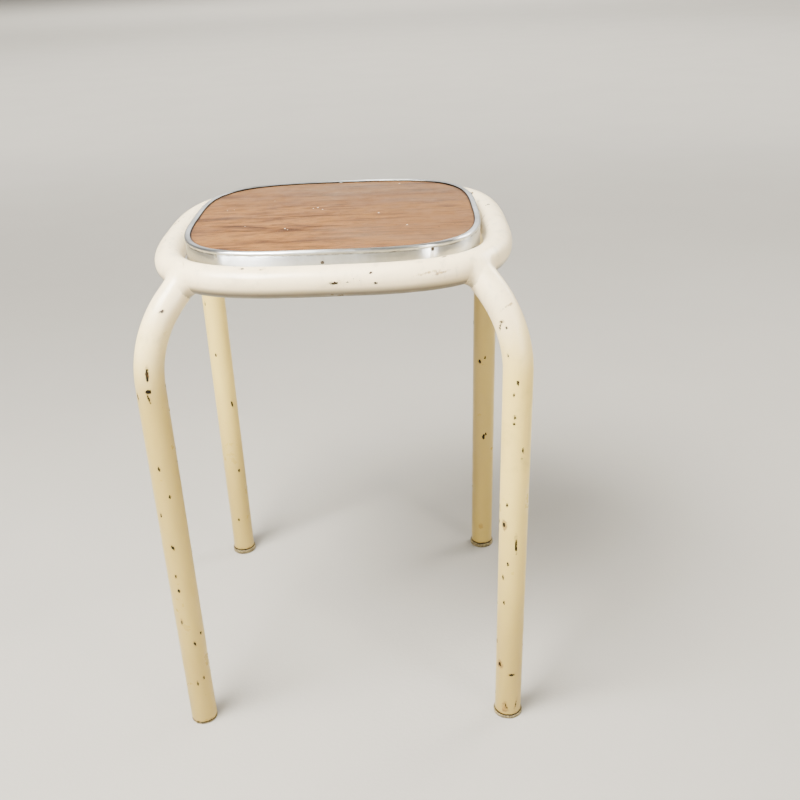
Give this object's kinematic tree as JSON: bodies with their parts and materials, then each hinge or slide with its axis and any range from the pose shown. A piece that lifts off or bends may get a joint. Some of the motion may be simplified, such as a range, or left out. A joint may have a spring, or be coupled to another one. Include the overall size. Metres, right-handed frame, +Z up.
{
  "type": "tubular steel stool",
  "caption": "Square workshop stool of bent steel tube with a rounded ring frame, four bent legs and an inset wood-grain seat with a metal edge.",
  "frame": {"origin": "on the floor, under the middle of the seat", "axes": "+Z up, the front side of the stool faces -Y, +X to the right as seen from the front"},
  "size_m": [0.331, 0.331, 0.4626],
  "materials": {
    "cream_enamel": "semi-gloss enamel, chipped, with rust spots",
    "satin_aluminium": "satin, lightly scratched",
    "wood_grain_laminate": "matt teak-coloured wood grain",
    "plywood": "raw",
    "backing_sheet": "matt brown",
    "zinc_plate": "dull zinc",
    "worn_glide_steel": "corroded, mottled",
    "nail_steel": "dark",
    "beech": "raw"
  },
  "bodies": {
    "root": {"ring_tube": "cream_enamel", "leg_front_left": "cream_enamel", "leg_front_right": "cream_enamel", "leg_back_left": "cream_enamel", "leg_back_right": "cream_enamel", "leg_weld_front_left": "cream_enamel", "leg_weld_front_right": "cream_enamel", "leg_weld_back_left": "cream_enamel", "leg_weld_back_right": "cream_enamel", "seat_lug_right": "cream_enamel", "seat_lug_back": "cream_enamel", "seat_lug_left": "cream_enamel", "seat_lug_front": "cream_enamel", "lug_weld_right": "cream_enamel", "lug_weld_back": "cream_enamel", "lug_weld_left": "cream_enamel", "lug_weld_front": "cream_enamel", "seat_screw_right": "zinc_plate", "seat_screw_back": "zinc_plate", "seat_screw_left": "zinc_plate", "seat_screw_front": "zinc_plate", "seat_washer_right": "zinc_plate", "seat_washer_back": "zinc_plate", "seat_washer_left": "zinc_plate", "seat_washer_front": "zinc_plate", "seat_core": "plywood", "seat_laminate": "wood_grain_laminate", "backing_sheet": "backing_sheet", "edge_trim": "satin_aluminium", "trim_nail_01": "nail_steel", "trim_nail_02": "nail_steel", "trim_nail_03": "nail_steel", "trim_nail_04": "nail_steel", "trim_nail_05": "nail_steel", "trim_nail_06": "nail_steel", "trim_nail_07": "nail_steel", "trim_nail_08": "nail_steel", "trim_nail_09": "nail_steel", "trim_nail_10": "nail_steel", "glide_front_left": "worn_glide_steel", "glide_front_right": "worn_glide_steel", "glide_back_left": "worn_glide_steel", "glide_back_right": "worn_glide_steel", "glide_nail_front_left": "nail_steel", "glide_nail_front_right": "nail_steel", "glide_nail_back_left": "nail_steel", "glide_nail_back_right": "nail_steel", "foot_plug_front_left": "beech", "foot_plug_front_right": "beech", "foot_plug_back_left": "beech", "foot_plug_back_right": "beech"}
  },
  "joints": []
}
